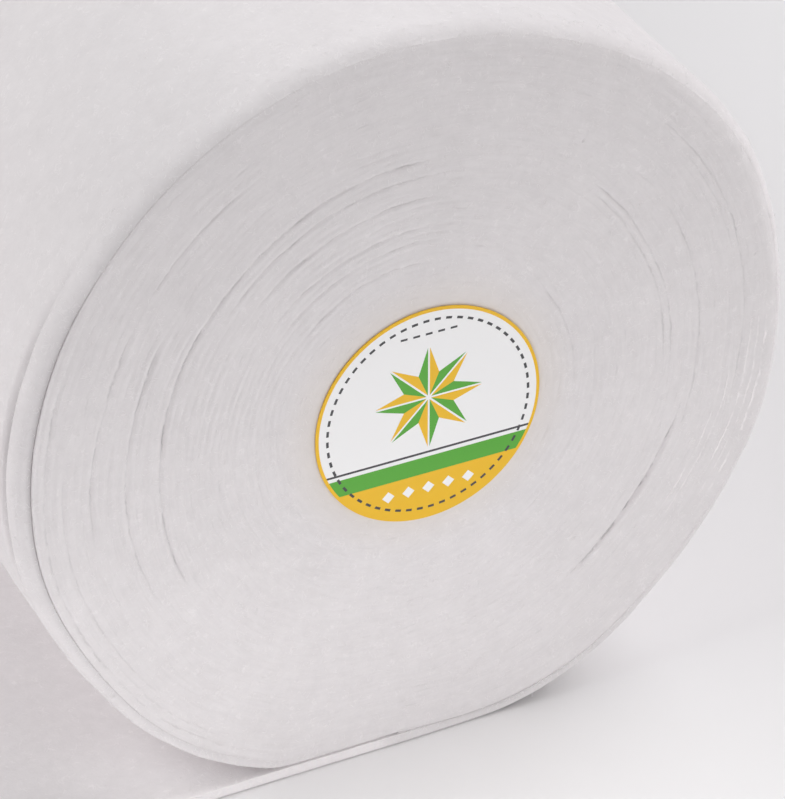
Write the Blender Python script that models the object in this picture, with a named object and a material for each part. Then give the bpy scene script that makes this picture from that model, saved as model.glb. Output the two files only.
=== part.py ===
"""A roll of quilt batting on its side, with its loose end on the floor and a round label on its front end.

Metres, +Z up. The origin is on the floor under the roll's axis, halfway along it. The axis runs along +Y,
and the labelled end faces -Y. The web leaves the roll underneath and runs out towards -X. Seen from the
front it is wound anticlockwise and inwards, so the outermost layer starts at the bottom and climbs the
right-hand side.
"""

import math

import bmesh
import bpy

# The roll
ROLL_RADIUS = 0.160
ROLL_LENGTH = 0.900
AXIS_HEIGHT = 0.157
RIM_RADIUS = 0.005
SIDE_STATIONS = 8

# The web, unwound
WEB_THICKNESS = 0.005
LOOSE_LENGTH = 0.400
CLEARANCE = 0.0003

# The main twists on the ends. Each twist is several layers, and the inner ones are wider.
STEPS_A_TURN = 80
MAIN_TWISTS = 9
WIDENING = 1.35
GROOVE_DEPTH = 0.0020
GROOVE_END_RADIUS = 0.062
GROOVE_FADE_WIDTH = 0.030
SEAM_ANGLE = math.radians(-92.25)
LAYER_STEP = (WEB_THICKNESS + CLEARANCE) * ROLL_RADIUS / AXIS_HEIGHT

# The flat grid that the twists are spun on, before each point is moved to its place
GRID_PITCH = 0.010
GRID_RADIUS = GRID_PITCH * (MAIN_TWISTS + 2)
HALF_PROFILE = 0.5
SEAM_REACH = 0.25 / STEPS_A_TURN

# The shallow hollow in which the label sits, in the middle of each end
HOLLOW_DEPTH = 0.0015
HOLLOW_FLAT_RADIUS = 0.058
HOLLOW_OUTER_RADIUS = 0.100

# Where the roll is out of round: the angle from +X in degrees, counted on from the seam and not round
# again, how far the outside stands out as a share of the radius, and how wide the place is in degrees
SWELLINGS = (
    {"angle": -63.0, "rise": 0.018, "width": 13.0},
    {"angle": -13.0, "rise": 0.014, "width": 17.0},
    {"angle": 28.0, "rise": 0.026, "width": 30.0},
    {"angle": 172.0, "rise": 0.006, "width": 24.0},
    {"angle": 210.0, "rise": -0.014, "width": 15.0},
    {"angle": 243.0, "rise": 0.017, "width": 22.0},
)
SWELLING_POWER = 4.0

# The loose end's soft rises off the floor: centre, height and half sizes
RISES = (
    {"x": -0.235, "y": -0.210, "height": 0.0075, "half_x": 0.060, "half_y": 0.260},
    {"x": -0.345, "y": 0.240, "height": 0.0100, "half_x": 0.050, "half_y": 0.220},
    {"x": -0.185, "y": 0.330, "height": 0.0050, "half_x": 0.045, "half_y": 0.160},
)
SHEET_COLUMNS = 30
SHEET_ROWS = 26
SELVAGE_WANDER = 0.0020
SELVAGE_WAVES = 9.0
CUT_EDGE_WANDER = 0.0030
CUT_EDGE_WAVES = 5.0

# The label
LABEL_RADIUS = 0.047
LABEL_THICKNESS = 0.0005
LABEL_X = 0.0067
LABEL_DROP = 0.0035
LABEL_SIDES = 72

MERGE_DISTANCE = 1e-5
CLOTH_SHARP_ANGLE = 50.0
LABEL_SHARP_ANGLE = 30.0


def clear_scene():
    for old in list(bpy.data.objects):
        bpy.data.objects.remove(old)


def material(name, colour, roughness):
    made = bpy.data.materials.new(name)
    made.use_nodes = True
    shader = made.node_tree.nodes["Principled BSDF"]
    shader.inputs["Base Color"].default_value = (*colour, 1.0)
    shader.inputs["Roughness"].default_value = roughness
    shader.inputs["Metallic"].default_value = 0.0
    return made


def finished(name, mesh, finish, sharp_angle):
    """An object made from a bmesh, with its faces turned outwards and its round parts shaded smooth."""
    bmesh.ops.recalc_face_normals(mesh, faces=mesh.faces)
    data = bpy.data.meshes.new(name)
    mesh.to_mesh(data)
    mesh.free()
    data.materials.append(finish)
    data.shade_smooth()
    data.set_sharp_from_angle(angle=math.radians(sharp_angle))
    made = bpy.data.objects.new(name, data)
    bpy.context.scene.collection.objects.link(made)
    return made


def eased(value):
    """0 below 0, 1 above 1, and an S-shaped rise between."""
    value = min(1.0, max(0.0, value))
    return value * value * (3.0 - 2.0 * value)


def spiral_radius(twists):
    """The radius after so many main twists, counted inwards from the start of the outermost layer."""
    return ROLL_RADIUS - LAYER_STEP * twists**WIDENING


def outside_radius(part):
    """The roll's outside as it lies, this part of a turn from the seam: swollen in places, and pressed flat
    by its own weight on the floor or on the loose end."""
    degrees = math.degrees(SEAM_ANGLE + math.tau * part)
    swelling = 0.0
    for row in SWELLINGS:
        swelling += row["rise"] * math.exp(-(((degrees - row["angle"]) / row["width"]) ** 2))
    swollen = ROLL_RADIUS * (1.0 + swelling)
    down = -math.sin(math.radians(degrees))
    if down <= 0.0:
        return swollen
    under = WEB_THICKNESS + CLEARANCE if part > 0.5 else 0.0
    return min(swollen, (AXIS_HEIGHT - under) / down)


def rim_setback(inwards):
    """How far the rounded rim lies behind the end, this far in from the outermost layer's outside."""
    if inwards >= RIM_RADIUS:
        return 0.0
    return RIM_RADIUS - math.sqrt(RIM_RADIUS**2 - (RIM_RADIUS - max(0.0, inwards)) ** 2)


def groove_depth(radius):
    """How deep the groove between two main twists is, fading out before the label."""
    return GROOVE_DEPTH * eased((radius - GROOVE_END_RADIUS) / GROOVE_FADE_WIDTH)


def hollow_depth(radius):
    span = HOLLOW_OUTER_RADIUS - HOLLOW_FLAT_RADIUS
    return HOLLOW_DEPTH * eased((HOLLOW_OUTER_RADIUS - radius) / span)


def grid_twists(point):
    """How many main twists in from the start of the outermost layer a point of the spun grid lies."""
    return (GRID_RADIUS - math.hypot(point.co.x, point.co.z)) / GRID_PITCH


def settle(point):
    """Moves a point of the spun grid to its place on the roll. At the seam, part is 0 at the start of the
    outermost layer and 1 on the layer below it, which has come round once."""
    angle = math.atan2(point.co.z, point.co.x)
    twists = grid_twists(point)
    part = ((angle - SEAM_ANGLE) / math.tau) % 1.0
    if part > 1.0 - SEAM_REACH:
        part = 0.0
    if part < SEAM_REACH and twists > (1.0 + HALF_PROFILE) / 2.0:
        part = 1.0

    outline = spiral_radius(part)
    outside = outside_radius(part)
    radius = spiral_radius(max(0.0, twists))
    radius += (outside - outline) * min(1.0, radius / outline) ** SWELLING_POWER

    if abs(point.co.y) > ROLL_LENGTH / 2 - MERGE_DISTANCE:
        between = math.cos(math.pi * (twists - part)) ** 2
        setback = max(rim_setback(outside - radius), between * groove_depth(radius))
        point.co.y = math.copysign(ROLL_LENGTH / 2 - setback - hollow_depth(radius), point.co.y)
    point.co.x = radius * math.cos(angle)
    point.co.z = AXIS_HEIGHT + radius * math.sin(angle)


def wound_roll(finish):
    """The roll as one closed solid: a spiral of main twists on each end, and the step under it."""
    mesh = bmesh.new()
    direction = (math.cos(SEAM_ANGLE), math.sin(SEAM_ANGLE))
    across = []
    for twists in (0.0, HALF_PROFILE, 1.0):
        radius = GRID_RADIUS - twists * GRID_PITCH
        across.append(mesh.verts.new((radius * direction[0], -ROLL_LENGTH / 2, radius * direction[1])))
    strip = [mesh.edges.new(pair) for pair in zip(across, across[1:])]
    inwards = -GRID_PITCH / STEPS_A_TURN
    bmesh.ops.spin(
        mesh,
        geom=across + strip,
        cent=(0.0, 0.0, 0.0),
        axis=(0.0, -1.0, 0.0),
        dvec=(inwards * direction[0], 0.0, inwards * direction[1]),
        angle=math.tau * MAIN_TWISTS,
        steps=STEPS_A_TURN * MAIN_TWISTS,
        use_merge=False,
    )
    bmesh.ops.remove_doubles(mesh, verts=mesh.verts, dist=MERGE_DISTANCE)

    boundary = [edge for edge in mesh.edges if edge.is_boundary]
    outer, inner = [], []
    for edge in boundary:
        twists = max(grid_twists(point) for point in edge.verts)
        (inner if twists > 1.0 + HALF_PROFILE else outer).append(edge)
    seat = bmesh.ops.edgeloop_fill(mesh, edges=inner)["faces"]
    bmesh.ops.poke(mesh, faces=seat)

    back = bmesh.ops.duplicate(mesh, geom=mesh.verts[:] + mesh.edges[:] + mesh.faces[:])["geom"]
    for point in back:
        if isinstance(point, bmesh.types.BMVert):
            point.co.y = ROLL_LENGTH / 2
    for _ in range(SIDE_STATIONS):
        grown = bmesh.ops.extrude_edge_only(mesh, edges=outer)["geom"]
        outer = [item for item in grown if isinstance(item, bmesh.types.BMEdge)]
        for point in grown:
            if isinstance(point, bmesh.types.BMVert):
                point.co.y += ROLL_LENGTH / SIDE_STATIONS
    bmesh.ops.remove_doubles(mesh, verts=mesh.verts, dist=MERGE_DISTANCE)

    for point in mesh.verts:
        settle(point)
    return finished("wound_roll", mesh, finish, CLOTH_SHARP_ANGLE)


def rise(x, y):
    """How far the loose end lifts off the floor here."""
    total = 0.0
    for row in RISES:
        reach = math.hypot((x - row["x"]) / row["half_x"], (y - row["y"]) / row["half_y"])
        total += row["height"] * eased(1.0 - reach)
    return total


def loose_end(finish):
    """The sheet from the step under the roll out to its cut edge, uneven where it isn't pressed down."""
    start = ROLL_RADIUS * math.cos(SEAM_ANGLE) - CLEARANCE
    mesh = bmesh.new()
    bmesh.ops.create_grid(mesh, x_segments=SHEET_COLUMNS, y_segments=SHEET_ROWS, size=0.5)
    for point in mesh.verts:
        point.co.x = start - LOOSE_LENGTH * (0.5 - point.co.x)
        point.co.y *= ROLL_LENGTH
    grown = bmesh.ops.extrude_face_region(mesh, geom=mesh.faces[:])["geom"]
    for point in grown:
        if isinstance(point, bmesh.types.BMVert):
            point.co.z += WEB_THICKNESS
    for point in mesh.verts:
        out = (start - point.co.x) / LOOSE_LENGTH
        side = point.co.y / ROLL_LENGTH * 2.0
        point.co.z += rise(point.co.x, point.co.y)
        point.co.y += side * SELVAGE_WANDER * (math.sin(SELVAGE_WAVES * out + side) - 1.0)
        point.co.x += CUT_EDGE_WANDER * out**4 * math.sin(CUT_EDGE_WAVES * side)
    return finished("loose_end", mesh, finish, CLOTH_SHARP_ANGLE)


def end_label(finish):
    """A thin disc that lies on the flat of the hollow in the front end."""
    mesh = bmesh.new()
    made = bmesh.ops.create_circle(mesh, cap_ends=True, segments=LABEL_SIDES, radius=LABEL_RADIUS)
    front = AXIS_HEIGHT - LABEL_DROP
    face_y = -ROLL_LENGTH / 2 + HOLLOW_DEPTH - CLEARANCE
    for point in made["verts"]:
        point.co = (LABEL_X + point.co.x, face_y, front + point.co.y)
    grown = bmesh.ops.extrude_face_region(mesh, geom=mesh.faces[:])["geom"]
    for point in grown:
        if isinstance(point, bmesh.types.BMVert):
            point.co.y -= LABEL_THICKNESS
    return finished("end_label", mesh, finish, LABEL_SHARP_ANGLE)


def main():
    clear_scene()
    batting = material("batting", (0.80, 0.79, 0.79), 0.95)
    paper = material("label_paper", (0.83, 0.60, 0.05), 0.45)
    wound_roll(batting)
    loose_end(batting)
    end_label(paper)


main()
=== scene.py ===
"""The looks of the roll of quilt batting: its wound turns, outermost layer, loose end, label and fuzz.

Metres, in the frame's own axes: the roll's axis runs along +Y, the labelled end faces -Y and the loose end
runs out towards -X. Angles are in degrees from +X, anticlockwise as seen from the front, and turns count
inwards from the seam under the roll, where the loose end becomes the outermost layer.
"""

import math
from functools import partial

import bmesh
import bpy
import numpy as np
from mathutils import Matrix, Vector, noise


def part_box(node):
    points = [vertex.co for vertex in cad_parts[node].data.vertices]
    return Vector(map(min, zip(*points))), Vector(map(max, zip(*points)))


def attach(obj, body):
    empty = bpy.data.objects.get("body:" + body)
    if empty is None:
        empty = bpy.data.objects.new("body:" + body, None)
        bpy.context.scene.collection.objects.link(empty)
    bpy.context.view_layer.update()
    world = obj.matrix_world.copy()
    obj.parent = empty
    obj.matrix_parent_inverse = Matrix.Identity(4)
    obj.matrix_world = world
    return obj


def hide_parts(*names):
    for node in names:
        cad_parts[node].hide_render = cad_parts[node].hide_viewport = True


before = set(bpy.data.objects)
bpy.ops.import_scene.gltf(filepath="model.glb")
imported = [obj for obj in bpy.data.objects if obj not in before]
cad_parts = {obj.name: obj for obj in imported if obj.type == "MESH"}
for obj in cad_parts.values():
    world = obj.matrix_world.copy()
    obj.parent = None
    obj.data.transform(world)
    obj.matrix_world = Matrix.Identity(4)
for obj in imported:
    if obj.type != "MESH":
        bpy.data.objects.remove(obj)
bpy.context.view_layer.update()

ROLL_LOW, ROLL_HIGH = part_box("wound_roll")
LOOSE_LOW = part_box("loose_end")[0]
LABEL_LOW, LABEL_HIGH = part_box("end_label")


def table(columns, *rows):
    """Rows with named columns: each value goes by its column's name."""
    return [dict(zip(columns.split(), row)) for row in rows]


# The roll, as in the frame
HALF_LENGTH = ROLL_HIGH.y
ROLL_RADIUS = 0.160
AXIS_HEIGHT = 0.157
SEAM_DEGREES = -92.25
CLEARANCE = 0.0001
LOOSE_THICKNESS = 0.0052
LAYER_STEP = (LOOSE_THICKNESS + CLEARANCE) * ROLL_RADIUS / AXIS_HEIGHT

# The web as it is wound
OUTER_THICKNESS = 0.0047
WOUND_PITCH = 0.0031
LAYER_GAP = 0.00001
TAPER_FROM = 0.93
TAPER_END = 0.0001
THINNING_TO = 0.05
FRONT_TURNS = 36
BACK_TURNS = 47

# The label
LABEL_X = (LABEL_LOW.x + LABEL_HIGH.x) / 2
LABEL_Z = (LABEL_LOW.z + LABEL_HIGH.z) / 2
LABEL_RADIUS = (LABEL_HIGH.x - LABEL_LOW.x) / 2
HOLLOW_DEPTH = 0.0015
HOLLOW_OUTER_RADIUS = 0.100
HOLLOW_SLOPE = HOLLOW_OUTER_RADIUS - 0.058

# The camera, fitted to the outline of the photograph's end face: its place, as seen from the middle of that
# face in roll radii, and its direction
CAMERA_RADII = Vector((-3.4703, -6.9932, 5.2778))
CAMERA_YAW = math.radians(26.03)
CAMERA_PITCH = math.radians(33.875)
FOCAL_PIXELS = 4023.0
LONG_SIDE_PIXELS = 799.0
SENSOR_WIDTH = 36.0

SHARP_ANGLE = math.radians(40)

# Where the roll is out of round: by how much, as a share of the radius. Angles run on from the seam.
SWELLINGS = table(
    "angle rise width",
    (-63.0, 0.018, 13.0),
    (-13.0, 0.014, 17.0),
    (28.0, 0.026, 30.0),
    (172.0, 0.006, 24.0),
    (210.0, -0.014, 15.0),
    (243.0, 0.017, 22.0),
)
SWELLING_POWER = 4.0
FLAT_EASE = 0.0022

# On the left the inner turns lie closer together than elsewhere
TIGHT_ANGLE = 158.0
TIGHT_WIDTH = 52.0
TIGHT_SHIFT = 0.0046
TIGHT_RADIUS = 0.105
TIGHT_REACH = 0.055

# Where the outermost layer stands off the body at the front end, and lies behind it, in metres. openness is
# how far its edge shows as an edge of its own: elsewhere it is flush with the turns under it.
FRONT_EDGE = table(
    "angle width gap recess openness",
    (173.0, 29.0, 0.0036, 0.0014, 1.0),
    (232.0, 18.0, 0.0, 0.0003, 0.14),
    (-88.0, 26.0, 0.0, 0.0, 0.60),
)
LEFT_GAP = 0.00005
THICK_LIP_REACH = 0.022
# Along the joint where the outermost layer stands open, shade is painted in: how wide, and how strong
JOINT_WIDTH = 0.0014
JOINT_PAINTED_SHADE = 0.65

# How far the two edges at the joint are set back from each other: at least, and more where it is open
EDGE_LEAST = 0.00005
EDGE_OF_BODY = 0.0015
EDGE_OF_WEB = 0.0009

# The outermost layer's back edge, next to the front one: its gap and its recess as shares, and its openness
BACK_SHARE = 0.35
BACK_RECESS = 0.5
BACK_OPENNESS = 0.3

# On the left the outermost layer's front edge flares out into a soft lip with a hollow behind it
LIP_ANGLE = 176.0
LIP_WIDTH = 24.0
LIP_FLARE = 0.0006
LIP_HOLLOW = 0.0044
LIP_HOLLOW_FROM_EDGE = 0.0090
LIP_HOLLOW_WIDTH = 0.0019
# How wide the shade painted into that hollow is
LIP_CREASE_WIDTH = 0.0016
LIP_SLOPE = 0.0042

# How wide the soft rounding of the rim is, in metres, and where it differs
RIM_ROUNDING = 0.0038
RIM_CHANGES = table(
    "angle extra width",
    (-92.0, -0.0020, 40.0),
    (12.0, 0.0068, 34.0),
    (94.0, 0.0066, 46.0),
    (268.0, -0.0020, 40.0),
)

# The grooves between turns that show most on the front end: their angles, and their radius as a share of the
# roll's, which takes the nearest boundary between turns halfway along. depth and half_width are in
# millimetres, and a negative depth is a ridge of fibres that stands out.
GROOVES = table(
    "from to radius depth half_width",
    (86, 208, 0.655, 1.3, 0.9),
    (148, 207, 0.726, 1.0, 0.9),
    (148, 188, 0.810, 0.8, 0.8),
    (118, 146, 0.813, 0.7, 0.8),
    (160, 203, 0.930, 0.8, 0.8),
    (176, 222, 0.890, 0.6, 0.8),
    (-3, 48, 0.688, 0.9, 0.9),
    (-3, 45, 0.665, 0.7, 0.7),
    (-14, 44, 0.902, 0.7, 1.2),
    (8, 40, 0.879, 0.4, 0.7),
    (84, 136, 0.620, 0.9, 0.8),
    (84, 134, 0.572, 0.8, 0.8),
    (86, 136, 0.495, 0.7, 0.8),
    (86, 136, 0.460, 0.6, 0.7),
    (86, 136, 0.391, 0.6, 0.7),
    (304, 345, 0.748, 2.6, 1.0),
    (-18, 30, 0.768, 0.8, 0.9),
    (-2, 38, 0.425, 0.7, 0.8),
    (200, 243, 0.945, 0.6, 0.9),
    (212, 238, 0.920, 0.4, 0.9),
    (326, 362, 0.965, -1.9, 0.6),
    (328, 362, 0.940, -1.6, 0.5),
    (330, 361, 0.912, -1.9, 0.6),
    (325, 352, 0.868, -1.7, 0.5),
    (322, 350, 0.846, -1.5, 0.5),
)
GROOVE_FIRST_SEED = 700
GROOVE_WAVES = (12.0, 25.0)
GROOVE_END_FADE = 9.0
# How much of each groove's depth goes into the shade painted along its line; on a ridge light is painted
# instead
GROOVE_LINE_SHARE = 0.75
GROOVE_SHARE = 0.55

# How strongly the fine turns show round the ends: the share at each angle, with an even change between
TURN_STRENGTH = table(
    "angle share",
    (-90.0, 0.15),
    (-50.0, 0.40),
    (-20.0, 0.95),
    (20.0, 0.75),
    (60.0, 0.35),
    (100.0, 0.75),
    (135.0, 0.85),
    (180.0, 1.10),
    (215.0, 0.95),
)
TURN_GROOVE = 0.00062
TURN_OFFSET = 0.00028
TURN_WAVES = (0.11, 0.23, 0.37)
TURN_GROOVE_WAVES = (0.05, 0.13, 0.29)
TURNS_FROM = 0.045
TURNS_EASE = 0.020
PATCH_SIZE = 0.030

# The lines between turns on the back end, painted in as shade and sunk as shallow grooves, how far from the
# axis they start, and their share of the strip
BACK_LINE = 0.80
BACK_GROOVE = 0.0008
BACK_FROM = 0.02
BACK_EASE = 0.03
BACK_STRIP_SHARE = 0.1

# How far the turns run out of true, which dies away at the outside, and the lumps of the ends, which start
# off the label and die away at the rim
WAVE_DEPTH = 0.0011
WAVE_COUNTS = (3, 4, 7)
WAVE_LENGTHS = (0.060, 0.045)
WAVE_EASE = 0.02
LUMPS = table(
    "depth size seed",
    (0.00045, 0.040, 2),
    (0.00012, 0.0035, 3),
)
LUMPS_FROM = 0.05
LUMPS_EASE = 0.02
RIM_CALM = 0.005

# The loose end's soft rises off the floor: centre, height and half sizes
RISES = table(
    "x y height half_x half_y",
    (-0.235, -0.210, 0.0075, 0.060, 0.260),
    (-0.345, 0.240, 0.0100, 0.050, 0.220),
    (-0.185, 0.330, 0.0050, 0.045, 0.160),
)


def eased(value):
    """0 below 0, 1 above 1, and an S-shaped rise between."""
    value = np.clip(value, 0.0, 1.0)
    return value * value * (3.0 - 2.0 * value)


def apart(angle, centre):
    """The degrees from centre to angle, from -180 to 180."""
    return (angle - centre + 180.0) % 360.0 - 180.0


def bell(angle, centre, width):
    return np.exp(-((apart(angle, centre) / width) ** 2))


def summed(rows, angle, key):
    """What the rows add up to at each angle, counted on from the seam and not round again."""
    total = np.zeros_like(angle)
    for row in rows:
        total += row[key] * np.exp(-(((angle - row["angle"]) / row["width"]) ** 2))
    return total


WANDER_HEIGHT = 1.4


def wander(along, seed, wavelengths):
    """A smooth irregular line between about -1 and 1, the same one for the same seed."""
    random = np.random.default_rng(seed)
    total = np.zeros_like(along)
    for wavelength in wavelengths:
        share = 0.8 + 0.4 * random.random()
        total += np.sin(math.tau * (along / (wavelength * share) + random.random()))
    return total / math.sqrt(len(wavelengths)) / WANDER_HEIGHT


def round_wander(degrees, seed, counts):
    """The same all the way round, so that it meets itself: counts are how many waves are in a turn."""
    random = np.random.default_rng(seed)
    total = np.zeros_like(degrees)
    for count in counts:
        total += np.sin(np.radians(degrees) * count + math.tau * random.random())
    return total / math.sqrt(len(counts)) / WANDER_HEIGHT


CLOUD_SHIFT = (7.13, 3.71, 5.39)
CLOUD_ROUGHNESS = 0.6
CLOUD_FINER = 2.1
CLOUD_OCTAVES = 2


def cloud(points, scale, seed):
    """Smooth noise at points, about -1 to 1. scale is the size of its lumps in metres."""
    shift = Vector([seed * step for step in CLOUD_SHIFT])
    places = [Vector(place) + shift for place in (points / scale).tolist()]
    return np.array([noise.fractal(place, CLOUD_ROUGHNESS, CLOUD_FINER, CLOUD_OCTAVES) for place in places])


def free_radius(part):
    """The outermost layer's outside, so many turns from the seam, before the roll's weight flattens it."""
    return ROLL_RADIUS - LAYER_STEP * part


def outside_radius(part):
    """The roll's outside as it lies: swollen in places, and pressed flat on the floor or the loose end."""
    angle = SEAM_DEGREES + 360.0 * part
    swollen = ROLL_RADIUS * (1.0 + summed(SWELLINGS, angle, "rise"))
    down = np.maximum(-np.sin(np.radians(angle)), 1e-6)
    under = np.where(part > 0.5, LOOSE_THICKNESS + CLEARANCE, 0.0)
    pressed = (AXIS_HEIGHT - under) / down
    overlap = np.maximum(FLAT_EASE - np.abs(swollen - pressed), 0.0)
    return np.minimum(swollen, pressed) - overlap**2 / FLAT_EASE / 4


def outer_thickness(part):
    """The outermost layer's thickness, which dies away where the next turn takes over."""
    gone = eased((part - TAPER_FROM) / (1.0 - TAPER_FROM))
    thinner = OUTER_THICKNESS + (LOOSE_THICKNESS - OUTER_THICKNESS) * (1.0 - eased(part / THINNING_TO))
    return thinner + (TAPER_END - OUTER_THICKNESS) * gone


def front_edge(part, key):
    """A value of the outermost layer's front edge, so many turns from the seam."""
    return summed(FRONT_EDGE, SEAM_DEGREES + 360.0 * part, key)


def rim_rounding(part):
    return RIM_ROUNDING + summed(RIM_CHANGES, SEAM_DEGREES + 360.0 * part, "extra")


def rim_setback(inwards, rounding):
    """How far the rounded rim lies behind the end, this far in from the outside."""
    short = np.clip(rounding - inwards, 0.0, rounding)
    return rounding - np.sqrt(np.maximum(rounding**2 - short**2, 0.0))


def placed(name, data):
    """A new object in the scene."""
    made = bpy.data.objects.new(name, data)
    bpy.context.scene.collection.objects.link(made)
    return made


def turn_to(made, direction):
    """Turns a lamp or a camera to look along a direction."""
    made.rotation_mode = "QUATERNION"
    made.rotation_quaternion = direction.to_track_quat("-Z", "Y")


def new_object(name, mesh, finish):
    """An object at the origin from a bmesh, shaded smooth, that rides with the frame."""
    data = bpy.data.meshes.new(name)
    mesh.to_mesh(data)
    mesh.free()
    data.materials.append(finish)
    data.shade_smooth()
    made = placed(name, data)
    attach(made, "root")
    return made


def places_of(made):
    flat = np.zeros(len(made.data.vertices) * 3, np.float32)
    made.data.vertices.foreach_get("co", flat)
    return flat.reshape(-1, 3).astype(float)


def set_places(made, places):
    made.data.vertices.foreach_set("co", places.astype(np.float32).ravel())
    made.data.update()


def face_outwards(made):
    mesh = bmesh.new()
    mesh.from_mesh(made.data)
    bmesh.ops.recalc_face_normals(mesh, faces=mesh.faces)
    mesh.to_mesh(made.data)
    mesh.free()


def sharpen(made, chosen):
    """Shades the edges between chosen points sharp."""
    ends = np.zeros(len(made.data.edges) * 2, np.int32)
    made.data.edges.foreach_get("vertices", ends)
    both = chosen[ends].reshape(-1, 2).all(axis=1)
    made.data.edges.foreach_set("use_edge_sharp", both)


def corner_points(made):
    """The point at each corner of each face."""
    corners = np.zeros(len(made.data.loops), np.int32)
    made.data.loops.foreach_get("vertex_index", corners)
    return corners


def set_value(made, name, value):
    layer = made.data.attributes.new(name, "FLOAT", "POINT")
    layer.data.foreach_set("value", value.astype(np.float32))


def set_uv(made, across, up):
    """A UV map from a value pair at each corner of each face."""
    layer = made.data.uv_layers.new(name="web")
    layer.data.foreach_set("uv", np.stack([across, up], axis=1).astype(np.float32).ravel())


# The wound body, made of the turns under the outermost layer

GRID_PITCH = 0.010
SIDE_STATIONS = (0.0, 0.0030, 0.0090, 0.0300, 0.1200, 1.0)
MIDDLE_RADIUS = 0.01
FRONT_STEPS = 400
FRONT_ACROSS = 5
BACK_STEPS = 200
BACK_ACROSS = 3


def wound_strip(name, turns, steps, across, finish):
    """A closed body whose end is one strip in an even spiral, with a side extruded from the outline.

    Y is the place along the side, 0 on the end and 1, 2, 3 ... at the side's stations."""
    mesh = bmesh.new()
    bmesh.ops.create_grid(mesh, x_segments=steps * turns, y_segments=across, size=0.5)
    start = GRID_PITCH * (turns + 2)
    for point in mesh.verts:
        turned = (point.co.x + 0.5) * turns
        radius = start - GRID_PITCH * (turned + point.co.y + 0.5)
        angle = math.radians(SEAM_DEGREES) + math.tau * turned
        point.co = (radius * math.cos(angle), 0.0, radius * math.sin(angle))
    bmesh.ops.remove_doubles(mesh, verts=mesh.verts, dist=GRID_PITCH / across / 10)

    outer, inner = [], []
    for edge in mesh.edges:
        if edge.is_boundary:
            depth = start - max(point.co.length for point in edge.verts)
            (outer if depth < GRID_PITCH * 1.5 else inner).append(edge)
    middle = bmesh.ops.edgeloop_fill(mesh, edges=inner)["faces"]
    bmesh.ops.poke(mesh, faces=middle)
    for _ in SIDE_STATIONS[1:]:
        grown = bmesh.ops.extrude_edge_only(mesh, edges=outer)["geom"]
        outer = [item for item in grown if isinstance(item, bmesh.types.BMEdge)]
        for point in grown:
            if isinstance(point, bmesh.types.BMVert):
                point.co.y += 1.0
    wall = bmesh.ops.edgeloop_fill(mesh, edges=outer)["faces"]
    bmesh.ops.poke(mesh, faces=wall)
    return new_object(name, mesh, finish), start


def boundary_radius(turn):
    """The radius of the boundary so many turns from the seam. The first boundary is the body's outline."""
    first = free_radius(np.clip(turn, 0.0, 1.0)) - outer_thickness(np.clip(turn, 0.0, 1.0)) - LAYER_GAP
    full = free_radius(1.0) - OUTER_THICKNESS - LAYER_GAP
    lift = OUTER_THICKNESS - TAPER_END
    settled = full - WOUND_PITCH * (turn - 1.0)
    settled += lift * (1.0 - eased((turn - 1.0) / (1.0 - TAPER_FROM)))
    return np.where(turn <= 1.0, first, settled)


def groove_relief(degrees, share, strip):
    """The main grooves at points of the front end: their depth in metres, and how strongly shade is painted
    along each line, or light on a ridge.

    share is the radius over the roll's, and strip a count inwards that is whole at each turn's boundary."""
    depth = np.zeros_like(degrees)
    line = np.zeros_like(degrees)
    for number, row in enumerate(GROOVES):
        middle = (row["from"] + row["to"]) / 2
        half = (row["to"] - row["from"]) / 2
        off = apart(degrees, middle)
        nearest = np.argmin(np.abs(off) / 100.0 + np.abs(share - row["radius"]))
        boundary = round(strip[nearest])
        ends = eased((half - np.abs(off)) / GROOVE_END_FADE + 0.3)
        strength = ends * (0.85 + 0.35 * wander(off, GROOVE_FIRST_SEED + number, GROOVE_WAVES))
        away = (strip - boundary) * WOUND_PITCH * 1000 / row["half_width"]
        depth += row["depth"] / 1000 * GROOVE_SHARE * strength * np.exp(-(away**2))
        near = np.abs(strip - boundary) < 0.3
        line += np.where(near, strength * row["depth"] * GROOVE_LINE_SHARE, 0.0)
    return depth, line


def place_in_strip(raw, start, steps, across):
    """Where points lie in the strip: their degrees, turns inwards, part of a turn from the seam, and share
    of the way across it. Rounding at the seam and at the boundaries is put right."""
    degrees = np.degrees(np.arctan2(raw[:, 2], raw[:, 0]))
    turn = (start - np.hypot(raw[:, 0], raw[:, 2])) / GRID_PITCH
    part = ((degrees - SEAM_DEGREES) / 360.0) % 1.0
    part = np.where(part > 1.0 - 0.25 / steps, 0.0, part)
    at_seam_inner = (part < 0.25 / steps) & (turn > 0.5 + 0.5 / across)
    part = np.where(at_seam_inner, 1.0, part)
    across_share = np.clip(turn - part, 0.0, None) % 1.0
    across_share = np.where(across_share > 1.0 - 0.25 / across, 0.0, across_share)
    return degrees, turn, part, across_share


def turn_strength(flat, radius, degrees, side):
    """How strongly the fine turns show at points of an end, in patches and round the face."""
    angles = [row["angle"] for row in TURN_STRENGTH]
    shares = [row["share"] for row in TURN_STRENGTH]
    strength = np.interp(degrees, angles, shares, period=360.0)
    third = np.full_like(radius, 3.0 + side)
    patches = np.stack([flat[:, 0] / PATCH_SIZE, flat[:, 2] / PATCH_SIZE, third], axis=1)
    patchy = 0.55 + 0.45 * cloud(patches, 1.0, 5)
    return strength * np.clip(patchy, 0.05, 1.2) * eased((radius - TURNS_FROM) / TURNS_EASE)


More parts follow.
